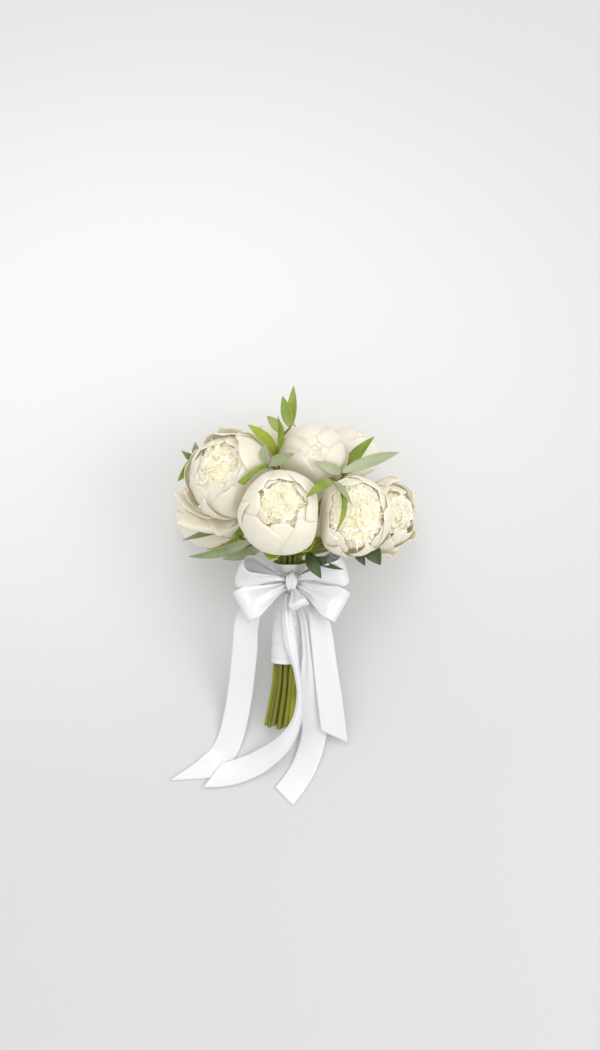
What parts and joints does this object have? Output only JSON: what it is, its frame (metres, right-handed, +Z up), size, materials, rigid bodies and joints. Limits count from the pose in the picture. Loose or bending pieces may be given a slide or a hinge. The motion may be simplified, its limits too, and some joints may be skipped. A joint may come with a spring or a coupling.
{
  "type": "hand-tied bouquet",
  "caption": "Hand-tied bouquet of white peonies with olive, ruscus and peony leaves, its stems wrapped in white satin ribbon with a double bow and long tails, lying on its back.",
  "frame": {"origin": "on the surface that the bouquet lies on, at the middle of its bounding box", "axes": "+Y along the stems towards the flowers, +Z up out of the bouquet's front, +X to the right as seen from the front with the flowers on top"},
  "size_m": [0.2698, 0.4375, 0.2095],
  "materials": {
    "ivory_petal": "soft matt petal, cream white, warmer towards the heart",
    "green_stem": "smooth fresh stem, olive to bright green",
    "green_leaf": "semi-gloss leaf, mid green",
    "grey_green_leaf": "matt grey-green leaf, paler underneath",
    "dark_leaf": "semi-gloss dark green leaf",
    "white_satin": "satin weave ribbon, soft sheen",
    "green_tape": "waxed crepe paper tape, matt"
  },
  "bodies": {
    "root": {"binding_tape": "green_tape", "bloom_back_left": "ivory_petal", "bloom_back_right": "ivory_petal", "bloom_far_right": "ivory_petal", "bloom_front": "ivory_petal", "bloom_left_open": "ivory_petal", "bloom_right": "ivory_petal", "bloom_top": "ivory_petal", "bloom_top_left": "ivory_petal", "bloom_top_right": "ivory_petal", "bow_knot": "white_satin", "bow_loop_lower_left": "white_satin", "bow_loop_lower_right": "white_satin", "bow_loop_middle": "white_satin", "bow_loop_upper_left": "white_satin", "bow_loop_upper_right": "white_satin", "ribbon_tail_front": "white_satin", "ribbon_tail_left": "white_satin", "ribbon_tail_middle": "white_satin", "ribbon_tail_right": "white_satin", "spray_olive_back": "grey_green_leaf", "spray_olive_centre": "grey_green_leaf", "spray_olive_left": "grey_green_leaf", "spray_olive_right": "grey_green_leaf", "spray_peony_leaf_low": "dark_leaf", "spray_peony_leaf_right": "dark_leaf", "spray_ruscus_back": "green_leaf", "spray_ruscus_left": "green_leaf", "spray_ruscus_right": "green_leaf", "spray_ruscus_top": "green_leaf", "stem_back_left": "green_stem", "stem_back_right": "green_stem", "stem_far_right": "green_stem", "stem_front": "green_stem", "stem_left_open": "green_stem", "stem_right": "green_stem", "stem_top": "green_stem", "stem_top_left": "green_stem", "stem_top_right": "green_stem", "wrap_ribbon": "white_satin"}
  },
  "joints": []
}
